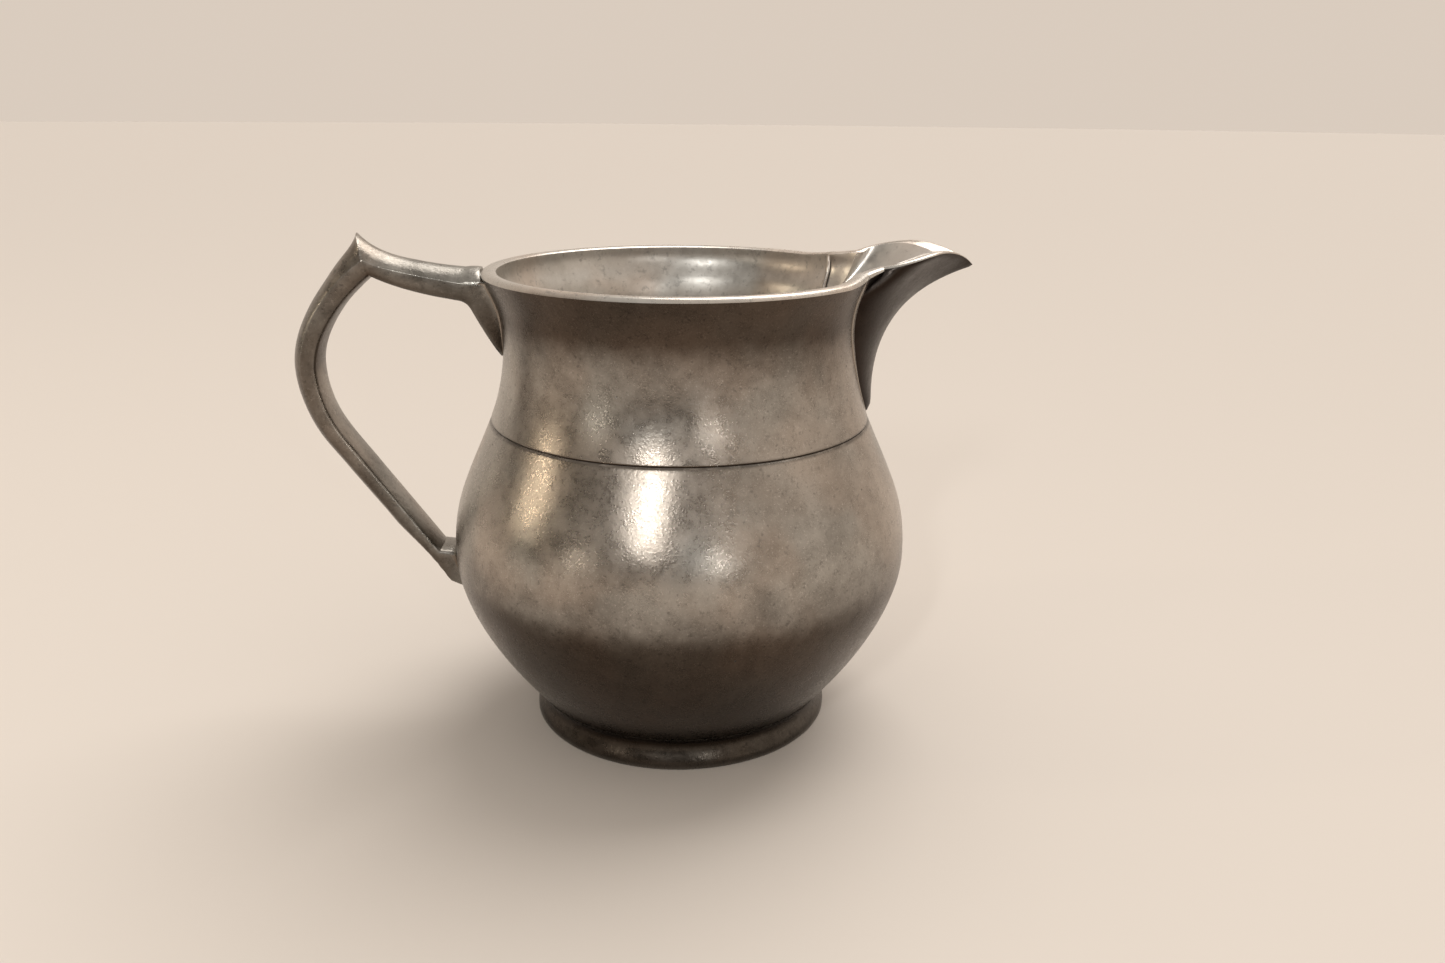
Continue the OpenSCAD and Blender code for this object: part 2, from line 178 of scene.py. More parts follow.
def skin(bm, rows, close_rows=False, close_columns=False, row_metal=None, column_metal=None):
    """Quads through rows of points. Returns the rows as bmesh vertices.

    row_metal and column_metal give the material index of the faces after a row or a column.
    """
    made = [[bm.verts.new(p) for p in row] for row in rows]
    pairs = list(zip(made, made[1:])) + ([(made[-1], made[0])] if close_rows else [])
    for i, (a, b) in enumerate(pairs):
        n = len(a)
        for j in range(n if close_columns else n - 1):
            k = (j + 1) % n
            face = bm.faces.new((a[j], a[k], b[k], b[j]))
            if row_metal:
                face.material_index = row_metal(i)
            if column_metal:
                face.material_index = column_metal(j)
    return made


def ladder(bm, a, b, metal=0):
    """Quads between two lines of existing vertices."""
    for j in range(len(a) - 1):
        corners = []
        for v in (a[j], a[j + 1], b[j + 1], b[j]):
            if v not in corners:
                corners.append(v)
        if len(corners) > 2:
            bm.faces.new(corners).material_index = metal


def uneven(p, size, depth):
    """A gentle hand-finished waviness: how far to move a surface point, in millimetres."""
    q = Vector(p) / size
    return depth * (noise.noise(q) + 0.45 * noise.noise(q * 2.3 + Vector((7, 3, 1))))


# ---------------------------------------------------------------- body outlines, as (radius, height)

LIP_THICKENS = 13.0       # how far below the rim the wall starts to thicken
FOOT_TOP = Vector((FOOT_WAIST, BELLY_FOOT))
BELLY = Vector((BELLY_RADIUS, BELLY_Z))
SHOULDER = Vector((SHOULDER_RADIUS, SHOULDER_Z))
WAIST = Vector((WAIST_RADIUS, WAIST_Z))
LIP_EDGE = Vector((RIM_RADIUS, RIM_TOP - LIP_DROP_OUT))

belly_path = (cubic(FOOT_TOP, FOOT_TOP + heading(46, 7), BELLY - Vector((0, 20.8)), BELLY, 60)
              + cubic(BELLY, BELLY + Vector((0, 18.7)), SHOULDER + heading(-66.6, 25.4),
                      SHOULDER, 50)[1:])
neck_path = (cubic(SHOULDER, SHOULDER + heading(103.5, 1.3), WAIST - Vector((0, 16.4)), WAIST, 40)
             + cubic(WAIST, WAIST + Vector((0, 8.5)), LIP_EDGE - heading(62, 9), LIP_EDGE, 40)[1:])
neck_table = [(p.y, p.x) for p in neck_path]
belly_table = [(p.y, p.x) for p in belly_path]
neck_inside_table = [(p.y, p.x) for p in beside(neck_path, WALL)]


def neck_radius(z):
    return lookup(z, neck_table)


def neck_inside(z):
    """Inner radius: an even wall, thickened inward toward the rim."""
    plain = lookup(z, neck_inside_table)
    part = (z - RIM_TOP + LIP_THICKENS) / (LIP_THICKENS - LIP_DROP_IN)
    return mix(plain, RIM_RADIUS - LIP_BAND, smooth(part))


def belly_radius_at(z):
    return lookup(z, belly_table)


def lathe(bm, outline, steps, wave=None, metal=None):
    """A turned closed outline.

    wave(point) gives how far to move a point outward, and metal(j) the material after outline point j.
    """
    rows = []
    for j in range(steps):
        azimuth = 360 * j / steps
        row = []
        for r, z in outline:
            p = round_about(r, azimuth, z)
            if wave:
                p += round_about(wave(p), azimuth, 0)
            row.append(p)
        rows.append(row)
    skin(bm, rows, close_rows=True, close_columns=True, column_metal=metal)


# ---------------------------------------------------------------- materials

class Nodes:
    """Short calls for the nodes of one procedural material. Sizes are in millimetres."""

    def __init__(self, name):
        self.material = bpy.data.materials.new(name)
        self.material.use_nodes = True
        self.tree = self.material.node_tree
        self.tree.nodes.clear()
        self.place = self.new("TexCoord").outputs["Object"]

    def new(self, kind):
        return self.tree.nodes.new("ShaderNode" + kind)

    def feed(self, socket, value):
        if isinstance(value, tuple):
            socket.default_value = (*value, 1)
        elif isinstance(value, (int, float)):
            socket.default_value = value
        else:
            self.tree.links.new(value, socket)

    def math(self, operation, a, b, clamp=False):
        n = self.new("Math")
        n.operation, n.use_clamp = operation, clamp
        self.feed(n.inputs[0], a)
        self.feed(n.inputs[1], b)
        return n.outputs[0]

    def add(self, a, b, clamp=False):
        return self.math("ADD", a, b, clamp)

    def less(self, a, b):
        return self.math("SUBTRACT", a, b)

    def times(self, a, b):
        return self.math("MULTIPLY", a, b)

    def noise(self, size, detail, roughness=0.55, distortion=0.0):
        n = self.new("TexNoise")
        for key, value in (("Scale", 1 / (size * MM)), ("Detail", detail),
                           ("Roughness", roughness), ("Distortion", distortion)):
            n.inputs[key].default_value = value
        self.tree.links.new(self.place, n.inputs["Vector"])
        return n.outputs["Fac"]

    def ramp(self, value, low, high, to_low=0.0, to_high=1.0):
        """Smooth step from to_low below low to to_high above high."""
        n = self.new("MapRange")
        n.interpolation_type = "SMOOTHSTEP"
        for key, number in (("From Min", low), ("From Max", high),
                            ("To Min", to_low), ("To Max", to_high)):
            n.inputs[key].default_value = number
        self.tree.links.new(value, n.inputs["Value"])
        return n.outputs["Result"]

    def mix(self, fac, a, b, blend="MIX"):
        n = self.new("Mix")
        n.data_type, n.blend_type = "RGBA", blend
        self.feed(n.inputs[0], fac)
        self.feed(n.inputs[6], a)
        self.feed(n.inputs[7], b)
        return n.outputs[2]

    def facing_up(self):
        """The surface's own slope: -1 facing the floor, 0 upright, 1 facing up."""
        split = self.new("SeparateXYZ")
        self.tree.links.new(self.new("NewGeometry").outputs["Normal"], split.inputs[0])
        return split.outputs["Z"]

    def edges(self):
        """How sharply the surface bends outward: over 0.5 on a convex edge."""
        return self.new("NewGeometry").outputs["Pointiness"]

    def height(self):
        split = self.new("SeparateXYZ")
        self.tree.links.new(self.place, split.inputs[0])
        return split.outputs["Z"]


# colour of the darker band along the shoulder's scored line
DARK_BAND = (0.045, 0.036, 0.028)
# colour of convex edges: worn metal, and partly a painted highlight
WORN_AND_GLINT = (0.58, 0.56, 0.52)
# warm tone of the painted shade on metal facing the floor, a painted reflection
PAINTED_SHADE_TINT = (1.14, 0.97, 0.86)
WARM_TINT, COOL_TINT = (1.04, 0.97, 0.91), (0.985, 0.99, 0.975)
TINT_SIZE = 38            # millimetres across a warm or cool patch
PIT_SPACING = 6.5
GRAIN_HEIGHT = 0.22       # height of the cast grain at sand = 1


def pewter(name, light, dark, rough, sand, sand_size=1.0, shade=1.0, sparkle=0.5, cloud_size=24.0,
           pits=0.0, wear_and_glint=0.0, dark_band_at=None):
    """Cast pewter with a sandy skin.

    light and dark are the metal's two tones, drifting in clouds. sand is the depth of the cast grain,
    and sparkle how bright its high points are, as painted glints. shade is painted shade: the tone that
    metal facing the floor is darkened to, warmed as a painted reflection. pits are small dark casting
    pits, wear_and_glint lightens convex edges as worn metal and painted highlight, and dark_band_at is
    the height of a darker band.
    """
    n = Nodes(name)
    clouds = n.noise(cloud_size, 3, 0.55, 0.6)
    mottle = n.noise(cloud_size * 0.22, 3, 0.6)
    grain = n.noise(sand_size, 2, 0.6)
    coarse = n.noise(sand_size * 2.6, 2, 0.6)
    fine = n.noise(sand_size * 0.45, 2, 0.6)

    # two tones drifting in clouds, with a faint warm or cool tint
    tone = n.add(n.times(clouds, 0.6), n.times(mottle, 0.4))
    colour = n.mix(n.ramp(tone, 0.28, 0.72), dark, light)
    tint = n.ramp(n.noise(TINT_SIZE, 2, 0.5), 0.40, 0.60)
    colour = n.mix(1.0, colour, n.mix(tint, WARM_TINT, COOL_TINT), "MULTIPLY")

    # painted glints on the grain's high points, and the grain's dark hollows
    high_grain = n.add(n.times(grain, 0.5), n.times(fine, 0.5))
    crest_glints = n.times(n.ramp(high_grain, 0.55, 0.68), sparkle)
    colour = n.mix(crest_glints, colour, tuple(min(1.0, c * 1.6) for c in light))
    low_grain = n.less(1.0, n.add(n.times(grain, 0.5), n.times(coarse, 0.5)))
    hollows = n.times(n.ramp(low_grain, 0.54, 0.68), 0.5)
    colour = n.mix(hollows, colour, tuple(c * 0.5 for c in dark))

    # painted shade: metal that faces the floor is darkened toward a warm tone, a painted dark
    # reflection
    if shade < 1:
        slope = n.add(n.facing_up(), n.times(n.less(tone, 0.5), 0.22))
        upward_lit = n.ramp(slope, -0.25, 0.30)
        painted_shade_colour = tuple(c * shade for c in PAINTED_SHADE_TINT)
        colour = n.mix(1.0, colour, n.mix(upward_lit, painted_shade_colour, (1.0, 1.0, 1.0)), "MULTIPLY")

    relief = n.add(n.add(n.times(grain, 0.45), n.times(fine, 0.2)), n.times(coarse, 0.35))
    gloss = n.add(n.ramp(mottle, 0.3, 0.7, 0.0, 0.07), n.times(n.less(0.5, grain), 0.22))
    # convex edges lightened: worn metal, and partly a painted highlight along the edges
    if wear_and_glint:
        worn_glinting_edge = n.times(n.ramp(n.edges(), 0.505, 0.56), wear_and_glint)
        colour = n.mix(worn_glinting_edge, colour, WORN_AND_GLINT)
        gloss = n.less(gloss, n.times(worn_glinting_edge, 0.08))

    if pits:
        cells = n.new("TexVoronoi")
        cells.inputs["Scale"].default_value = 1 / (PIT_SPACING * MM)
        n.tree.links.new(n.place, cells.inputs["Vector"])
        patch = n.ramp(n.noise(30, 2), 0.50, 0.64)
        hole = n.ramp(cells.outputs["Distance"], 0.02, 0.085, 1.0, 0.0)
        pit = n.times(n.times(hole, patch), pits)
        colour = n.mix(pit, colour, tuple(c * 0.2 for c in dark))
        relief = n.less(relief, n.times(pit, 1.3))

    # a darker band along the scored line at the given height
    if dark_band_at is not None:
        away = n.math("ABSOLUTE", n.less(n.height(), dark_band_at * MM), 0.0)
        near = n.ramp(away, 0.2 * MM, 1.3 * MM, 1.0, 0.0)
        band_darkening = n.times(near, n.ramp(mottle, 0.3, 0.6, 0.25, 0.65))
        colour = n.mix(band_darkening, colour, DARK_BAND)

    shader = n.new("BsdfPrincipled")
    shader.inputs["Metallic"].default_value = 1.0
    n.feed(shader.inputs["Base Color"], colour)
    n.feed(shader.inputs["Roughness"], n.add(gloss, rough, clamp=True))
    bump = n.new("Bump")
    bump.inputs["Strength"].default_value = sand
    bump.inputs["Distance"].default_value = GRAIN_HEIGHT * MM
    n.feed(bump.inputs["Height"], relief)
    n.feed(shader.inputs["Normal"], bump.outputs[0])
    out = n.new("OutputMaterial")
    n.feed(out.inputs["Surface"], shader.outputs[0])
    return n.material


CAST_LIGHT, CAST_DARK = (0.47, 0.443, 0.412), (0.30, 0.278, 0.254)
body_metal = pewter("cast_pewter_body", CAST_LIGHT, CAST_DARK, rough=0.265, sand=0.50,
                    sand_size=0.75, shade=0.17, sparkle=0.5, pits=0.9, dark_band_at=SHOULDER_Z)
# the foot is much darker than the body's metal: painted shade
foot_metal_painted_shade = pewter("cast_pewter_foot_painted_shade", (0.10, 0.088, 0.077), (0.045, 0.038, 0.032), rough=0.26,
                    sand=0.45, shade=0.45, sparkle=0.35, pits=0.5, wear_and_glint=0.35)
# the inside of the neck and belly is lighter than the body's metal: painted light
inside_metal_painted_light = pewter("cast_pewter_inside_painted_light", (0.68, 0.655, 0.625), (0.52, 0.495, 0.465), rough=0.36,
                      sand=0.2, sand_size=1.4, sparkle=0.12, cloud_size=15, pits=0.7)
# the rim is lighter than the body's metal: partly a polished rim, partly a painted reflection
lip_metal_polish_and_sheen = pewter("cast_pewter_lip_polish_and_painted_sheen", (0.62, 0.59, 0.555), (0.54, 0.51, 0.475), rough=0.26,
                   sand=0.05, sand_size=1.2, sparkle=0.1)
# the spout's outside is far darker than the body's metal: a painted dark reflection
spout_metal_painted_reflection = pewter("cast_pewter_spout_painted_reflection", (0.082, 0.070, 0.064), (0.050, 0.042, 0.038), rough=0.32,
                     sand=0.30, sand_size=0.8, shade=0.35, sparkle=0.12)
# the spout's channel is far lighter than the body's metal: painted light
channel_metal_painted_light = pewter("cast_pewter_channel_painted_light", (0.84, 0.815, 0.785), (0.70, 0.675, 0.65), rough=0.34,
                       sand=0.2, sand_size=1.2, sparkle=0.1, cloud_size=15)
# the handle is darker than the body's metal: painted shade
handle_metal_painted_shade = pewter("cast_pewter_handle_painted_shade", (0.35, 0.332, 0.307), (0.17, 0.158, 0.143), rough=0.28,
                      sand=0.7, sand_size=1.0, shade=0.24, sparkle=0.4, wear_and_glint=0.3)
solder_metal = pewter("solder", (0.34, 0.32, 0.295), (0.22, 0.205, 0.185), rough=0.30, sand=0.35,
                      sand_size=0.9, shade=0.6, sparkle=0.3, wear_and_glint=0.5)
base_metal = pewter("base_pewter", (0.36, 0.345, 0.32), (0.25, 0.235, 0.215), rough=0.38, sand=0.35,
                    sand_size=1.2, sparkle=0.2, pits=0.6)


# ---------------------------------------------------------------- belly, foot ring and base

BODY_STEPS = 256
GROOVE_HALF = 0.36        # half the width of the scored line at the shoulder
GROOVE_DEPTH = 0.45
LEDGE = 6.0               # width of the belly's inward ledge above the foot
FOOT_LAND = 5.2           # width of the ring that the foot stands on
groove_low = SHOULDER_Z - GROOVE_HALF
groove_high = SHOULDER_Z + GROOVE_HALF


def wave_outside(p):
    return uneven(p, 24, 0.09)


def build_belly():
    """The lower body with its inside, its ledge, and the lower half of the scored line."""
    outer = [p for p in evened(belly_path, 1.35) if p.y < groove_low - 0.8]
    top_radius = belly_radius_at(groove_low)
    edge = [Vector((top_radius + 0.16, groove_low - 0.42)),
            Vector((top_radius + 0.03, groove_low - 0.14)),
            Vector((top_radius - 0.16, groove_low + 0.06)),
            Vector((top_radius - 0.38, SHOULDER_Z - 0.12)),
            Vector((top_radius - GROOVE_DEPTH, SHOULDER_Z)),
            Vector((top_radius - WALL, SHOULDER_Z))]
    inner = [p for p in evened(beside(belly_path, WALL), 2.2)
             if BASE_HIGH - 0.5 < p.y < SHOULDER_Z - 2]
    inner.reverse()
    ledge = FOOT_WAIST - LEDGE
    floor = [Vector((inner[-1].x - 0.8, BASE_LOW)), Vector((ledge, BASE_LOW)),
             Vector((ledge, BELLY_FOOT)), Vector((FOOT_WAIST - 3, BELLY_FOOT))]
    first_inner = len(outer) + len(edge) - 1
    last_inner = first_inner + len(inner)
    bm = bmesh.new()
    lathe(bm, outer + edge + inner + floor, BODY_STEPS, wave_outside,
          lambda j: 1 if first_inner <= j <= last_inner else 0)
    finish_piece("belly", bm, [body_metal, inside_metal_painted_light],
                 ["belly_shell", "shoulder_solder"])


def build_foot():
    """The flared ring, with a soft fillet that laps onto the belly."""
    top, edge, waist = BELLY_FOOT, FOOT_RADIUS, FOOT_WAIST
    inside = edge - FOOT_LAND
    outline = [Vector((inside, 1.0)), Vector((inside + 0.3, 0.3)), Vector((inside + 1.0, 0)),
               Vector((edge - 2.6, 0)), Vector((edge - 0.9, 0)), Vector((edge - 0.35, 0.25)),
               Vector((edge, 0.9)), Vector((edge, 1.9))]
    outline += cubic((edge - 0.12, 2.6), (edge - 0.6, 4.6), (waist + 0.1, 6.0),
                     (waist + 0.15, top - 1.3), 10)
    outline += cubic((waist + 0.15, top - 1.3), (waist + 0.25, top - 0.1),
                     (waist + 1.1, top + 0.95), (waist + 2.2, top + 2.2), 7)[1:]
    outline += [Vector((waist + 1.6, top + 2.2)), Vector((waist - 1.6, top + 0.3)),
                Vector((inside + 0.3, top - 0.4)), Vector((inside, top - 1.2)),
                Vector((inside, 4.5))]
    bm = bmesh.new()
    lathe(bm, outline, BODY_STEPS, lambda p: uneven(p, 22, 0.07))
    finish_piece("foot", bm, [foot_metal_painted_shade], ["foot_ring", "foot_solder"])


def build_base():
    """A slightly dished disc with a solder fillet round it, inside and underneath."""
    bm = bmesh.new()
    rings = []
    for j in range(BODY_STEPS):
        azimuth = 360 * j / BODY_STEPS
        row = []
        for r, z in ((0.2, BASE_HIGH - 0.5), (14, BASE_HIGH - 0.45), (28, BASE_HIGH - 0.3),
                     (40, BASE_HIGH - 0.05), (BASE_RADIUS - 1.5, BASE_HIGH + 0.1),
                     (BASE_RADIUS + 0.6, BASE_HIGH + 0.5), (BASE_RADIUS + 1.3, BASE_HIGH + 1.6),
                     (BASE_RADIUS + 1.8, BASE_HIGH + 1.6), (BASE_RADIUS + 0.6, BASE_LOW + 0.2),
                     (44.6, BASE_LOW - 0.02), (42, BASE_LOW + 0.25), (28, BASE_LOW + 0.1),
                     (14, BASE_LOW), (0.2, BASE_LOW)):
            p = round_about(r, azimuth, z)
            if r < BASE_RADIUS - 3:
                p.z += uneven(p, 16, 0.06)
            row.append(p)
        rings.append(row)
    made = skin(bm, rings, close_rows=True)
    for index in (0, -1):
        bm.faces.new([ring[index] for ring in made])
    finish_piece("base", bm, [base_metal], ["base_disc", "base_solder"])


# ---------------------------------------------------------------- neck and its opening

V_BOTTOM = SHOULDER_Z + 0.75      # where the outer edge of the spout's opening starts
V_BOTTOM_IN = SHOULDER_Z + 6.0    # and its inner edge
V_HALF = 27.0                     # half-angle of the opening at the rim
V_FOOT_HALF = 1.9                 # and at its outer edge's lower end
V_IN_LESS = 0.4                   # how much smaller the inner edge's half-angle is
V_ROWS = 34
NECK_COLUMNS = 232
RIM_RISE, RISE_FROM = 1.65, 40    # how far the rim climbs to the spout, from this azimuth on


def v_part(k):
    """Height along the opening for row k, closer together toward the rim."""
    return 1 - (1 - k / V_ROWS) ** 1.5


def v_angle_out(u):
    """Half-angle of the opening's outer edge, from its lower end (u = 0) to the rim (u = 1)."""
    return mix(V_FOOT_HALF, V_HALF, 1 - (1 - u) ** 1.42)


def v_angle_in(u):
    return (V_HALF - V_IN_LESS) * (1 - (1 - u) ** 2.0)


V_TOP_OUT = RIM_TOP - LIP_DROP_OUT
V_TOP_IN = RIM_TOP - LIP_DROP_IN


def rim_rise(azimuth):
    """The rim climbs a little as it comes up to the spout."""
    away = min(azimuth % 360, 360 - azimuth % 360)
    return RIM_RISE * max(0.0, (RISE_FROM - away) / (RISE_FROM - V_HALF)) ** 1.35


def lifted(r, azimuth, z):
    """A point of the neck, raised with the rim near the spout."""
    return round_about(r, azimuth, z + rim_rise(azimuth) * smooth((z - RIM_TOP + 22) / 21))


def lip_section(steps):
    """The domed band from its outer to its inner edge, as (part across, height below the crown)."""
    section = []
    for i in range(1, steps):
        t = i / steps
        flat = 1 - (2 * t - 1) ** 2
        ends = mix(LIP_DROP_OUT, LIP_DROP_IN, t)
        section.append((t, ends * (1 - flat ** 0.5)))
    return section


LIP_SECTION = lip_section(9)


def neck_rows():
    """Rows round the neck as (radius, height, half-angle of the opening)."""
    rows = [(neck_radius(SHOULDER_Z) - WALL, SHOULDER_Z + 0.05, 0),
            (neck_radius(SHOULDER_Z) - GROOVE_DEPTH, SHOULDER_Z + 0.05, 0),
            (neck_radius(groove_high) - 0.12, groove_high, 0),
            (neck_radius(groove_high + 0.3), groove_high + 0.3, 0)]
    for k in range(V_ROWS + 1):
        u = v_part(k)
        z = mix(V_BOTTOM, V_TOP_OUT, u)
        rows.append((neck_radius(z), z, v_angle_out(u)))
    for part, drop in LIP_SECTION:
        rows.append((RIM_RADIUS - LIP_BAND * part, RIM_TOP - drop, V_HALF - V_IN_LESS * part))
    for k in range(V_ROWS, -1, -1):
        u = v_part(k)
        z = mix(V_BOTTOM_IN, V_TOP_IN, u)
        rows.append((neck_inside(z), z, v_angle_in(u)))
    rows.append((neck_inside(SHOULDER_Z + 2), SHOULDER_Z + 2, 0))
    return rows


OUT_ROW = 4                                   # index of the opening's lowest outer row
IN_ROW = OUT_ROW + 2 * V_ROWS + 1 + len(LIP_SECTION)


def neck_metal(row):
    """Body metal up to the rim's outer edge, then the lip's and the inside's."""
    if row < OUT_ROW + V_ROWS:
        return 0
    return 2 if row <= OUT_ROW + V_ROWS + len(LIP_SECTION) else 1


def build_neck():
    """The neck's outside, lip and inside as rows that all stop at the spout's opening."""
    bm = bmesh.new()
    table = []
    for r, z, half in neck_rows():
        row = []
        for j in range(NECK_COLUMNS + 1):
            azimuth = mix(half, 360 - half, j / NECK_COLUMNS)
            p = lifted(r, azimuth, z)
            fade = smooth((abs((azimuth + 180) % 360 - 180) - half) / 12) if half else 1
            p += round_about(wave_outside(p) * fade, azimuth, 0)
            row.append(p)
        table.append(row)
    made = skin(bm, table, close_rows=True, row_metal=neck_metal)
    for column in (0, -1):
        outer = [made[OUT_ROW + k][column] for k in range(V_ROWS + 1)]
        inner = [made[IN_ROW - k][column] for k in range(V_ROWS + 1)]
        ladder(bm, outer, inner, metal=1)
        lip = [made[OUT_ROW + V_ROWS + 1 + i][column] for i in range(len(LIP_SECTION))]
        bm.faces.new([outer[-1]] + lip + [inner[-1]])
    finish_piece("neck", bm, [body_metal, inside_metal_painted_light, lip_metal_polish_and_sheen], ["neck_shell"])


# ---------------------------------------------------------------- spout

SPOUT_WALL = 2.6
TIP = Vector((SPOUT_REACH - 0.9, 0, 161.2))
KEEL_TIP = Vector((SPOUT_REACH - 0.5, 160.2))
KEEL_RISE = Vector((SHOULDER_RADIUS + 1.8, SHOULDER_Z + 9))
LIP_START = round_about(RIM_RADIUS - LIP_BAND / 2, V_HALF - V_IN_LESS / 2, RIM_TOP + rim_rise(V_HALF))
PINCH = Vector((64.3, 21.6, 163.0))       # the corner where the rim turns into the beak
BULGE = Vector((82.0, 17.8, 167.0))       # the highest point of the beak's lip

keel_foot = Vector((SHOULDER_RADIUS + 0.9, V_BOTTOM))
keel_path = (cubic(keel_foot, keel_foot + Vector((1.3, 0.9)), KEEL_RISE - Vector((0, 4)), KEEL_RISE, 8)
             + cubic(KEEL_RISE, KEEL_RISE + Vector((0.2, 24)), KEEL_TIP - Vector((19.5, 6.2)),
                     KEEL_TIP, 60)[1:])
keel_table = [(p.y, p.x) for p in keel_path]
keel_inside_table = sorted((p.y, p.x) for p in beside(keel_path, SPOUT_WALL))


def lip_centre():
    """Centre line of the spout's lip from the tip back to the rim."""
    rim_part = cubic(LIP_START, LIP_START + Vector((1.4, -2.6, 0.15)),
                     PINCH + Vector((-2.6, 2.9, -0.35)), PINCH, 14)
    beak_one = cubic(PINCH, PINCH + Vector((4.6, 4.6, 1.2)), BULGE + Vector((-6, 5.6, -0.7)), BULGE, 22)
    beak_two = cubic(BULGE, BULGE + Vector((5.0, -4.7, 0.55)), TIP + Vector((-4.5, 5.0, 4.3)), TIP, 22)
    path = rim_part + beak_one[1:] + beak_two[1:]
    path.reverse()
    return path


LIP_LINE = lip_centre()
LIP_COUNT = len(LIP_LINE)


# along x: half the width of the lip's band, and how far its two edges lie below its crown
LIP_HALF_WIDTHS = [(56, LIP_BAND / 2), (PINCH.x, 1.75), (72, 1.45), (92, 1.2), (99, 0.8)]
LIP_DROPS_OUT = [(58, LIP_DROP_OUT), (PINCH.x, 0.9), (99, 0.5)]
LIP_DROPS_IN = [(58, LIP_DROP_IN), (99, 0.35)]
SHARPEST = 0.62           # limits how far a sharp corner pushes the lip's edges out


def lip_edges():
    """Outer and inner edge of the lip, moved sideways from its centre line."""
    outer, inner = [], []
    for i, p in enumerate(LIP_LINE):
        back = LIP_LINE[i - 1] if i else Vector((p.x - 1, -1.0, p.z))
        ahead = LIP_LINE[i + 1] if i + 1 < LIP_COUNT else p + (p - LIP_LINE[i - 1])
        a = (p - back).to_2d().normalized() if i else Vector((0.0, 1.0))
        b = (ahead - p).to_2d().normalized()
        if i == LIP_COUNT - 1:
            b = Vector((-math.sin(math.radians(V_HALF)), math.cos(math.radians(V_HALF))))
            a = b
        side_a, side_b = Vector((a.y, -a.x)), Vector((b.y, -b.x))
        side = (side_a + side_b).normalized()
        reach = lookup(p.x, LIP_HALF_WIDTHS) / max(side.dot(side_b), SHARPEST)
        drop_out, drop_in = lookup(p.x, LIP_DROPS_OUT), lookup(p.x, LIP_DROPS_IN)
        outer.append(Vector((p.x + side.x * reach, p.y + side.y * reach, p.z - drop_out)))
        inner.append(Vector((p.x - side.x * reach, p.y - side.y * reach, p.z - drop_in)))
    outer[0].y = inner[0].y = 0
    return outer, inner


LIP_OUTER, LIP_INNER = lip_edges()
lip_lengths = [0.0]
for a, b in zip(LIP_LINE, LIP_LINE[1:]):
    lip_lengths.append(lip_lengths[-1] + (b - a).length)
LIP_PART = [s / lip_lengths[-1] for s in lip_lengths]
PINCH_PART = next(part for part, p in zip(LIP_PART, LIP_LINE) if p.x <= PINCH.x)
HALF_SWELL = Vector((3.4, 5.4))      # how far the beak's side stands out from a straight wall


def squeezed(part, u):
    """Moves the valley beside the flange closer to the neck, the further down it is."""
    strength = 0.12 + 0.88 * smooth((u - 0.84) / 0.16)
    edge = 1 - (1 - PINCH_PART) * strength
    if part > PINCH_PART:
        return 1 - (1 - part) * strength
    return part * edge / PINCH_PART


def spout_row(keel, joint, lip, u, follow, flanged):
    """One row of the spout's wall from the keel out to the neck.

    follow is how closely the row keeps the lip's own shape, corner and all, instead of a plain swell.
    flanged keeps the valley beside the neck narrow, as it is outside.
    """
    tip, root = lip[0], lip[-1]
    scale = (joint - keel).length / (root - tip).length
    swell = HALF_SWELL * scale * mix(0.75, 1, u)
    row = []
    for part, p in zip(LIP_PART, lip):
        off = p - tip.lerp(root, part)
        across = squeezed(part, u) if flanged else part
        q = keel.lerp(joint, across)
        plain = math.sin(math.pi * across ** 0.85) ** 0.9
        q.x += mix(swell.x * plain, off.x * scale, follow)
        q.y += mix(swell.y * plain, off.y * scale, follow)
        q.z += off.z * u ** 6
        row.append(q)
    return row


def mirrored(row):
    """A half row from the keel outward, made into a full row from one side to the other."""
    other = [Vector((p.x, -p.y, p.z)) for p in row[1:]]
    return other[::-1] + row


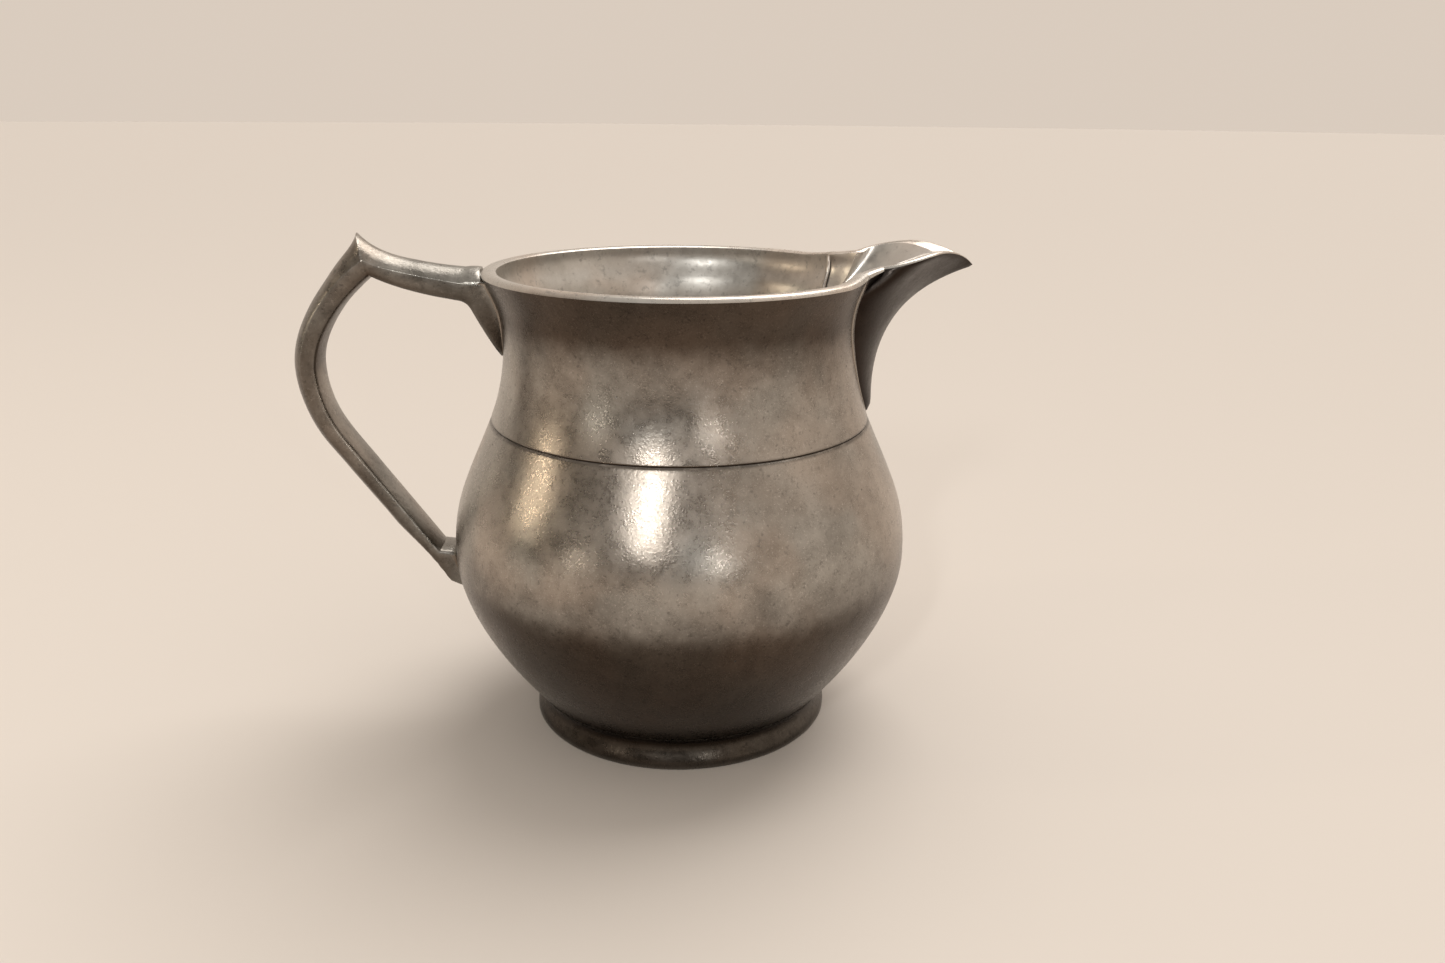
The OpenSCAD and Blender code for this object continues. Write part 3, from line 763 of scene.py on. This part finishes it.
def build_spout():
    """The beak: its outside, lip and channel as rows from one side of the opening to the other."""
    outer_rows, inner_rows = [], []
    for k in range(V_ROWS + 1):
        u = v_part(k)
        z_joint = mix(V_BOTTOM, V_TOP_OUT, u)
        joint = lifted(neck_radius(z_joint), v_angle_out(u), z_joint)
        z_keel = mix(V_BOTTOM, LIP_OUTER[0].z, u)
        keel = Vector((lookup(z_keel, keel_table), 0, z_keel))
        follow = mix(0.25, 1, smooth((u - 0.6) / 0.4))
        row = spout_row(keel, joint, LIP_OUTER, u, follow, True) if k < V_ROWS else list(LIP_OUTER)
        outer_rows.append(row)
        z_joint = mix(V_BOTTOM_IN, V_TOP_IN, u)
        step_back = 0.5 * smooth((1 - u) * 9)
        joint = lifted(neck_inside(z_joint) + step_back, v_angle_in(u), z_joint)
        z_keel = mix(V_BOTTOM_IN, LIP_INNER[0].z, u)
        keel = Vector((min(lookup(z_keel, keel_inside_table), LIP_INNER[0].x), 0, z_keel))
        follow = smooth((u - 0.6) / 0.4)
        row = spout_row(keel, joint, LIP_INNER, u, follow, False) if k < V_ROWS else list(LIP_INNER)
        inner_rows.append(row)
    lip_rows = []
    for part, _ in LIP_SECTION:
        row = []
        for a, b, crown in zip(LIP_OUTER, LIP_INNER, LIP_LINE):
            flat = 1 - (2 * part - 1) ** 2
            p = a.lerp(b, part)
            p.z += (crown.z - mix(a.z, b.z, part)) * flat ** 0.5
            row.append(p)
        lip_rows.append(row)
    rows = outer_rows + lip_rows + inner_rows[::-1]
    bm = bmesh.new()
    top = V_ROWS + 1 + len(lip_rows)
    made = skin(bm, [mirrored(row) for row in rows],
                row_metal=lambda i: 0 if i < V_ROWS else 2 if i < top else 1)
    for column in (0, -1):
        outer = [made[k][column] for k in range(V_ROWS + 1)]
        inner = [made[-1 - k][column] for k in range(V_ROWS + 1)]
        ladder(bm, outer, inner, metal=1)
        bm.faces.new([outer[-1]] + [made[i][column] for i in range(V_ROWS + 1, top)] + [inner[-1]])
    ladder(bm, made[0], made[-1])
    finish_piece("spout_beak", bm, [spout_metal_painted_reflection, channel_metal_painted_light, lip_metal_polish_and_sheen],
                 ["spout"], crease=32)
    return outer_rows


RIDGE_ROUND = 0.9         # radius of the seam's ridge inside the neck
RIDGE_STEPS = 6
BEAD_LIFT = 0.25          # how far the bead stands off the spout's wall
# across the bead on the neck: distance beyond the seam, and height over the neck
BEAD_SHAPE = [(0.15, 0.42), (0.9, 0.3), (1.6, 0.42), (2.15, 0.5), (2.45, 0.25), (2.6, -0.25)]


def inner_ridge(side):
    """A half-round ridge up the seam between the neck's inside and the spout's channel."""
    rows = []
    for k in range(V_ROWS + 1):
        u = v_part(k)
        z = mix(V_BOTTOM_IN, V_TOP_IN - 0.35, u)
        r = neck_inside(z)
        size = RIDGE_ROUND * smooth(u * 8) * (1 - 0.5 * smooth((u - 0.94) / 0.06)) + 0.05
        row = []
        for i in range(RIDGE_STEPS + 1):
            turn = math.pi * i / RIDGE_STEPS
            azimuth = v_angle_in(u) + math.degrees(size * math.cos(turn) / r)
            p = lifted(r + 0.15 - size * math.sin(turn), azimuth, z)
            p.y *= side
            row.append(p)
        rows.append(row)
    return rows


def outer_bead(side, wall_lines):
    """A low flange that laps from the spout's wall onto the neck."""
    rows = []
    for k, wall in enumerate(wall_lines):
        u = v_part(k)
        z = mix(V_BOTTOM, V_TOP_OUT, u)
        r = neck_radius(z)
        width = mix(0.35, 1.0, smooth(u * 2.2)) * mix(1, 1.25, smooth((u - 0.75) / 0.2))
        height = mix(0.5, 1.0, smooth(u * 2)) * (1 - 0.75 * smooth((u - 0.93) / 0.07))
        lift = Vector((BEAD_LIFT, BEAD_LIFT, 0)) * height
        row = [wall[-3] + lift, wall[-2] + lift]
        for off, tall in BEAD_SHAPE:
            azimuth = v_angle_out(u) + math.degrees(off * width / r)
            row.append(lifted(r + tall * height, azimuth, z))
        for p in row:
            p.y *= side
        rows.append(row)
    return rows


def build_spout_solder(wall_lines):
    """The seams of the V on both sides, outside and inside."""
    bm = bmesh.new()
    for side in (1, -1):
        skin(bm, outer_bead(side, wall_lines))
        # the inner ridge takes the rim's lighter metal as a painted highlight
        skin(bm, inner_ridge(side), row_metal=lambda i: 1)
    finish_piece("spout_bead", bm, [solder_metal, lip_metal_polish_and_sheen], ["spout_solder"], crease=50)


# ---------------------------------------------------------------- handle, as (reach, height)

HALF = 7.5                # half the strap's width
SIDE = 5.6                # thickness of the strap at its edges
CROWN = 3.1               # how much thicker it is in the middle
PEAK_RISE = 5.0           # how far the thumb rest stands up, and how quickly it falls away
PEAK_FADE = 5.0
CORNER_ROUND = 0.9        # depth of the inner corner that stays round on the thin tail
GAP = 0.06
GRIP_REACH = GRIP_OUTSIDE - 8.3
TAIL_TIP = Vector((WAIST_RADIUS + 0.9, RIM_TOP - 29.5))
TAIL_TOP = Vector((WAIST_RADIUS + 9.4, RIM_TOP - 13.6))
STRAP_FOOT = Vector((WAIST_RADIUS + 13.2, RIM_TOP - 10.2))
CORNER = Vector((GRIP_REACH - 19.8, RIM_TOP - 2))
GRIP = Vector((GRIP_REACH, BELLY_Z + 64))
GRIP_END = Vector((GRIP_REACH - 8.2, BELLY_Z + 39.5))
SHANK_END = Vector((BELLY_RADIUS + 5.4, BELLY_Z - 0.4))
MITRE = 71.5              # heading of the thumb rest's section
TAIL_STEPS, ELBOW_STEPS, STRAP_STEPS = 12, 8, 26
GRIP_HIGH_STEPS, GRIP_LOW_STEPS, SHANK_STEPS = 34, 16, 18
JOINT_TOP, JOINT_BOTTOM = BELLY_Z - 1.5, BELLY_Z - 16.6
HANDLE_WAVE = 0.10        # depth of the strap's hand-finished waviness


# The stretch s runs from 0 at the neck to 1 at the thumb rest, 2 at the grip's outermost point,
# 2.4 at the grip's end and 3 at the belly.
SIDES = [(0, SIDE + 0.6), (1, SIDE + 0.2), (2, SIDE - 0.4), (2.4, SIDE - 1), (2.8, SIDE - 1.1),
         (3, SIDE - 2)]
CROWNS = [(0, CROWN + 1.2), (0.4, CROWN + 0.5), (1, CROWN), (2, CROWN), (2.8, CROWN - 0.6),
          (3, CROWN - 1)]
FAR_FROM_PEAK = 60


def side_at(s):
    return lookup(s, SIDES)


def crown_at(s, from_peak=FAR_FROM_PEAK):
    return lookup(s, CROWNS) + PEAK_RISE * math.exp(-from_peak / PEAK_FADE)


def outward(path, i):
    """Heading of the strap's outer side at point i of its inner line."""
    t = path[min(i + 1, len(path) - 1)] - path[max(i - 1, 0)]
    return math.degrees(math.atan2(t.x, -t.y))


def strap_shape(half, side, crown):
    """A cross-section as (outward, across): low inner face, rounded corners, sides and crown."""
    near = [(-0.5, 0.0), (-0.45, half * 0.3), (-0.3, half * 0.55), (-0.05, half * 0.78),
            (0.1, half - 1.05), (0.33, half - 0.5), (0.7, half - 0.14), (1.15, half)]
    near += [(mix(1.15, side - 0.5, t), half + 0.12 * math.sin(math.pi * t)) for t in (0.25, 0.5, 0.75)]
    near += [(side - 0.5, half), (side - 0.1, half - 0.06), (side + 0.22, half - 0.38)]
    near += [(side + crown * (1 - s ** 2), half * s) for s in (0.88, 0.74, 0.58, 0.42, 0.28, 0.14)]
    top = [(side + crown, 0.0)]
    far = [(a, -y) for a, y in near[:0:-1]]
    return near + top + far


SECTION_SIZE = len(strap_shape(HALF, SIDE, CROWN))


def placed(inner, angle, side, crown):
    """A full-width cross-section standing on the inner line, turned toward angle."""
    points = []
    for a, y in strap_shape(HALF, side, crown):
        q = inner + heading(angle, a)
        points.append(Vector((-q.x, y, q.y)))
    return points


def reach_neck(inner, angle, y, half):
    """How far a point off the middle plane goes outward before it meets the neck or the strap's top."""
    top = RIM_TOP - 3.8 + 4.2 * (1 - (y / half) ** 2)      # the strap's crowned upper side
    low, high = 0.0, 16.0
    for _ in range(18):                                    # halving the range 18 times is ample
        middle = (low + high) / 2
        q = inner + heading(angle, middle)
        outside = q.y < top and math.hypot(q.x, y) > neck_radius(min(q.y, LIP_EDGE.y)) + GAP
        low, high = (middle, high) if outside else (low, middle)
    return low


def pressed(inner, angle, half):
    """A cross-section whose outer side lies on the neck."""
    edge = reach_neck(inner, angle, half, half)
    soft = min(1.0, edge / 2.2)          # flattens the inner corner where the tail gets thin
    side_end = SIDE - 0.5
    points = []
    for a, y in strap_shape(half, SIDE, CROWN):
        if a >= side_end - 0.1:
            a = reach_neck(inner, angle, y, half)
        elif a < CORNER_ROUND:
            a = min(a * soft, edge)
        else:
            part = (a - CORNER_ROUND) / (side_end - CORNER_ROUND)
            a = min(mix(CORNER_ROUND * soft, edge, part), edge)
        q = inner + heading(angle, a)
        points.append(Vector((-q.x, y, q.y)))
    return points


def on_belly(z, y, out=GAP):
    r = belly_radius_at(z) + out
    return Vector((-math.sqrt(r * r - y * y), y, z))


def handle_rings():
    """Cross-sections from the tail to the belly, and how many of them lie on the neck."""
    rings = []
    tail = cubic(TAIL_TIP, TAIL_TIP + Vector((2.6, 4)), TAIL_TOP - Vector((2.2, 4.4)), TAIL_TOP,
                 TAIL_STEPS)
    elbow = cubic(TAIL_TOP, TAIL_TOP + Vector((1, 2)), STRAP_FOOT - Vector((1.8, 0.5)), STRAP_FOOT,
                  ELBOW_STEPS)
    strap = cubic(STRAP_FOOT, STRAP_FOOT + Vector((9, 1.5)), CORNER - Vector((8, 4.2)), CORNER,
                  STRAP_STEPS)
    grip_high = cubic(CORNER, CORNER + Vector((7, -5.3)), GRIP + Vector((-0.3, 13)), GRIP,
                      GRIP_HIGH_STEPS)
    grip_low = cubic(GRIP, GRIP - Vector((0, 10)), GRIP_END + Vector((4.6, 6.5)), GRIP_END,
                     GRIP_LOW_STEPS)
    shank = [GRIP_END.lerp(SHANK_END, i / SHANK_STEPS) for i in range(SHANK_STEPS + 1)]
    for i, p in enumerate(tail):
        t = i / TAIL_STEPS
        rings.append(pressed(p, mix(150, 124, t), HALF * (0.3 + 0.7 * math.sin(math.pi / 2 * t))))
    for i, p in enumerate(elbow[1:-1], 1):
        rings.append(pressed(p, mix(124, 101, i / ELBOW_STEPS), HALF))
    tail_count = len(rings)
    for i, p in enumerate(strap):
        s = i / STRAP_STEPS
        rings.append(placed(p, mix(99, MITRE, smooth(s)), side_at(s), crown_at(s, (p - CORNER).length)))
    for i, p in enumerate(grip_high[1:], 1):
        s = 1 + i / GRIP_HIGH_STEPS
        away = (p - CORNER).length
        angle = mix(MITRE, outward(grip_high, i), smooth(away / 10))
        rings.append(placed(p, angle, side_at(s), crown_at(s, away)))
    for i, p in enumerate(grip_low[1:], 1):
        s = 2 + 0.4 * i / GRIP_LOW_STEPS
        rings.append(placed(p, outward(grip_low, i), side_at(s), crown_at(s)))
    for i, p in enumerate(shank[1:], 1):
        s = 2.4 + 0.6 * i / SHANK_STEPS
        rings.append(placed(p, outward(shank, 1), side_at(s), crown_at(s)))
    side, crown = side_at(3), crown_at(3)
    # the lower end turns to face the belly: place, heading, extra thickness
    turn = [(SHANK_END, outward(shank, 1), 0), (SHANK_END - Vector((2.2, 0.2)), -54.6, 1.9),
            (SHANK_END - Vector((3.8, 0.4)), -68.8, 4.3), (SHANK_END - Vector((4.8, 0.7)), -81, 7.1)]
    for (p0, a0, s0), (p1, a1, s1) in zip(turn, turn[1:]):
        for t in (1 / 3, 2 / 3, 1):
            rings.append(placed(p0.lerp(p1, t), mix(a0, a1, t), side + mix(s0, s1, t), crown))
    last_side = side + 8.9
    deepest = last_side + crown + 0.5
    rings.append([on_belly(mix(JOINT_TOP, JOINT_BOTTOM, (a + 0.5) / deepest), y, -0.4)
                  for a, y in strap_shape(HALF, last_side, crown)])
    return rings, tail_count


def build_handle():
    rings, tail_count = handle_rings()
    bm = bmesh.new()
    rows = []
    for i, ring in enumerate(rings):
        soft = smooth((i - tail_count) / 4) * smooth((len(rings) - 3 - i) / 4)
        row = []
        for p in ring:
            way = Vector((noise.noise(p / 9), noise.noise(p / 9 + Vector((5, 0, 0))),
                          noise.noise(p / 9 + Vector((0, 5, 0)))))
            row.append(p + way * HANDLE_WAVE * soft)
        rows.append(row)
    made = skin(bm, rows, close_columns=True)
    bm.faces.new(made[0])
    bm.faces.new(made[-1][::-1])
    finish_piece("handle_strap", bm, [handle_metal_painted_shade], ["handle"], crease=48)
    return rings, tail_count


def fillet(lines, steps=5):
    """A hollow fillet through triples of (point up the handle, corner, point out on the body)."""
    rows = []
    for up, corner, out in lines:
        row = []
        for i in range(steps + 1):
            t = i / steps
            row.append(up * (1 - t) ** 2 + corner * (2 * t * (1 - t)) + out * t ** 2)
        rows.append(row)
    return rows


def build_upper_solder(rings, tail_count):
    """Solder worked into the corner round the handle's tail."""
    edge = 11             # the cross-section's point where its side meets its crown
    lines = []
    for side in (1, -1):
        part = []
        for i in range(tail_count - 4):
            ring = rings[i]
            corner = ring[edge] if side > 0 else ring[(SECTION_SIZE - edge) % SECTION_SIZE]
            upper = ring[edge - 3] if side > 0 else ring[(SECTION_SIZE - edge + 3) % SECTION_SIZE]
            leg = mix(0.5, 1.3, smooth(i / 6))
            up = corner + (upper - corner).normalized() * min(leg, (upper - corner).length)
            azimuth = math.atan2(corner.y, corner.x) - side * leg * 1.2 / WAIST_RADIUS
            r = neck_radius(corner.z) + 0.02
            out = Vector((r * math.cos(azimuth), r * math.sin(azimuth), corner.z - 0.1))
            part.append((up, corner, out))
        lines.append(part)
    bm = bmesh.new()
    path = lines[0][::-1] + lines[1]
    skin(bm, fillet(path))
    finish_piece("tail_bead", bm, [solder_metal], ["handle_upper_solder"], crease=60)


def build_lower_solder(rings):
    """A full fillet where the handle's lower end meets the belly."""
    end, before = rings[-1], rings[-7]
    middle = (JOINT_TOP + JOINT_BOTTOM) / 2
    lines = []
    for p, q in zip(end, before):
        spread = Vector((p.y, p.z - middle)).normalized()
        leg = 1.5 + 4.3 * max(spread.y, 0) ** 2
        up = p + (q - p).normalized() * min(leg * 1.1, (q - p).length * 0.9)
        foot = on_belly(p.z, p.y, 0.0)
        out = on_belly(p.z + leg * spread.y, p.y + leg * spread.x, 0.02)
        lines.append((up, foot, out))
    bm = bmesh.new()
    skin(bm, fillet(lines), close_rows=True)
    finish_piece("belly_bead", bm, [solder_metal], ["handle_lower_solder"], crease=60)


build_belly()
build_foot()
build_base()
build_neck()
build_spout_solder(build_spout())
handle_sections, sections_on_neck = build_handle()
build_upper_solder(handle_sections, sections_on_neck)
build_lower_solder(handle_sections)


# ---------------------------------------------------------------- floor, light and camera

FLOOR_COLOUR = (0.72, 0.665, 0.61)
HORIZON = (0.70, 0.605, 0.518)       # the studio's bright side, matched to the lit floor
DIM_SIDE = (0.095, 0.08, 0.066)
CEILING = (0.62, 0.58, 0.535)
BRIGHT_WAY = (0.67, 0.74)           # the bright side lies behind the jug and to its right
BRIGHT_FROM, BRIGHT_TO = -0.62, -0.12
CEILING_FROM, CEILING_TO = 0.45, 0.9
SUN_POWER, SUN_WIDTH = 1.72, 45
SUN_COLOUR = (1.0, 0.95, 0.90)
SUN_WAY = (-0.30, -0.42, -0.86)
FLOOR_RINGS = (0.01, 0.15, 0.4, 0.9, 2.0, 5.0, 12.0)
FLOOR_STEPS = 64
LENS, SENSOR = 28.9, 36.0
CAMERA_PLACE = (-0.01367, -0.39148, 0.21236)      # metres, x from the body's axis
CAMERA_AHEAD = (0.06918, 0.94808, -0.31040)
CAMERA_ROLL = 0.52


def build_floor():
    bm = bmesh.new()
    rows = []
    for radius in FLOOR_RINGS:
        rows.append([round_about(radius, 360 * j / FLOOR_STEPS, 0) for j in range(FLOOR_STEPS)])
    made = skin(bm, rows, close_columns=True)
    bm.faces.new(made[0])
    bmesh.ops.recalc_face_normals(bm, faces=bm.faces)
    mesh = bpy.data.meshes.new("floor")
    bm.to_mesh(mesh)
    bm.free()
    floor = bpy.data.objects.new("floor", mesh)
    bpy.context.collection.objects.link(floor)
    m = bpy.data.materials.new("pale_floor")
    m.use_nodes = True
    shader = m.node_tree.nodes["Principled BSDF"]
    shader.inputs["Base Color"].default_value = (*FLOOR_COLOUR, 1)
    shader.inputs["Roughness"].default_value = 0.8
    shader.inputs["Specular IOR Level"].default_value = 0.2
    mesh.materials.append(m)


def add_light(name, place, size, power, colour, aim):
    data = bpy.data.lights.new(name, "AREA")
    data.shape = "ELLIPSE"
    data.size, data.size_y = size
    data.energy = power
    data.color = colour
    lamp = bpy.data.objects.new(name, data)
    bpy.context.collection.objects.link(lamp)
    lamp.location = place
    way = Vector(aim) - place
    lamp.rotation_mode = "QUATERNION"
    lamp.rotation_quaternion = way.to_track_quat("-Z", "Y")


def build_world():
    """A soft studio: bright walls behind and to the right, dim toward the front and left."""
    world = bpy.data.worlds.new("studio")
    bpy.context.scene.world = world
    world.use_nodes = True
    nodes, links = world.node_tree.nodes, world.node_tree.links
    nodes.clear()

    def ramp(value, low, high):
        n = nodes.new("ShaderNodeMapRange")
        n.interpolation_type = "SMOOTHSTEP"
        n.inputs["From Min"].default_value = low
        n.inputs["From Max"].default_value = high
        links.new(value, n.inputs["Value"])
        return n.outputs["Result"]

    def blend(fac, a, b):
        n = nodes.new("ShaderNodeMix")
        n.data_type = "RGBA"
        links.new(fac, n.inputs[0])
        for socket, value in ((n.inputs[6], a), (n.inputs[7], b)):
            if isinstance(value, tuple):
                socket.default_value = (*value, 1)
            else:
                links.new(value, socket)
        return n.outputs[2]

    place = nodes.new("ShaderNodeTexCoord").outputs["Generated"]
    split = nodes.new("ShaderNodeSeparateXYZ")
    links.new(place, split.inputs[0])
    along = nodes.new("ShaderNodeVectorMath")
    along.operation = "DOT_PRODUCT"
    links.new(place, along.inputs[0])
    along.inputs[1].default_value = (*BRIGHT_WAY, 0)
    walls = blend(ramp(along.outputs["Value"], BRIGHT_FROM, BRIGHT_TO), DIM_SIDE, HORIZON)
    colour = blend(ramp(split.outputs["Z"], CEILING_FROM, CEILING_TO), walls, CEILING)
    background = nodes.new("ShaderNodeBackground")
    links.new(colour, background.inputs["Color"])
    out = nodes.new("ShaderNodeOutputWorld")
    links.new(background.outputs[0], out.inputs["Surface"])


def build_sun():
    """One wide soft sun from high behind on the right, so that the floor is evenly lit."""
    data = bpy.data.lights.new("high_softbox", "SUN")
    data.energy = SUN_POWER
    data.angle = math.radians(SUN_WIDTH)
    data.color = SUN_COLOUR
    sun = bpy.data.objects.new("high_softbox", data)
    bpy.context.collection.objects.link(sun)
    sun.rotation_mode = "QUATERNION"
    sun.rotation_quaternion = Vector(SUN_WAY).to_track_quat("-Z", "Y")


def build_camera():
    """The photo's viewing angle: a little above the rim, level but for a slight roll."""
    data = bpy.data.cameras.new("camera")
    data.sensor_width = SENSOR
    data.lens = LENS
    camera = bpy.data.objects.new("camera", data)
    bpy.context.collection.objects.link(camera)
    ahead = Vector(CAMERA_AHEAD).normalized()
    level = ahead.cross(Vector((0, 0, 1))).normalized()
    above = level.cross(ahead)
    roll = math.radians(CAMERA_ROLL)
    right = level * math.cos(roll) + above * math.sin(roll)
    up = -level * math.sin(roll) + above * math.cos(roll)
    turn = Matrix((right, up, -ahead)).transposed()
    place = Vector(CAMERA_PLACE) + Vector((AXIS_X * MM, 0, 0))
    camera.matrix_world = Matrix.Translation(place) @ turn.to_4x4()
    data.clip_start, data.clip_end = 0.02, 60
    bpy.context.scene.camera = camera


WARM, AMBER, NEUTRAL = (1.0, 0.93, 0.82), (1.0, 0.86, 0.66), (1.0, 0.99, 0.96)
# name, where on the metal it shines, the way toward the lamp, distance, size, watts, colour
LAMPS = [
    ("window", (-0.011, -0.068, 0.100), (-0.29, -0.83, 0.48), 1.5, (0.07, 0.26), 4.0, NEUTRAL),
    ("small_lamp", (0.009, -0.076, 0.084), (0.28, -0.93, 0.25), 1.5, (0.06, 0.06), 1.2, NEUTRAL),
    ("left_lamp", (-0.045, -0.051, 0.102), (-0.96, -0.05, 0.29), 1.4, (0.16, 0.26), 1.3, AMBER),
    ("left_front", (-0.035, -0.070, 0.080), (-0.78, -0.60, 0.16), 1.4, (0.12, 0.20), 0.6, WARM),
]


def build_lamps():
    for name, spot, way, far, size, power, colour in LAMPS:
        target = Vector(spot) + Vector((AXIS_X * MM, 0, 0))
        add_light(name, target + Vector(way).normalized() * far, size, power, colour, target)


build_floor()
build_world()
build_sun()
build_camera()
build_lamps()
bpy.context.scene.view_settings.view_transform = "Standard"
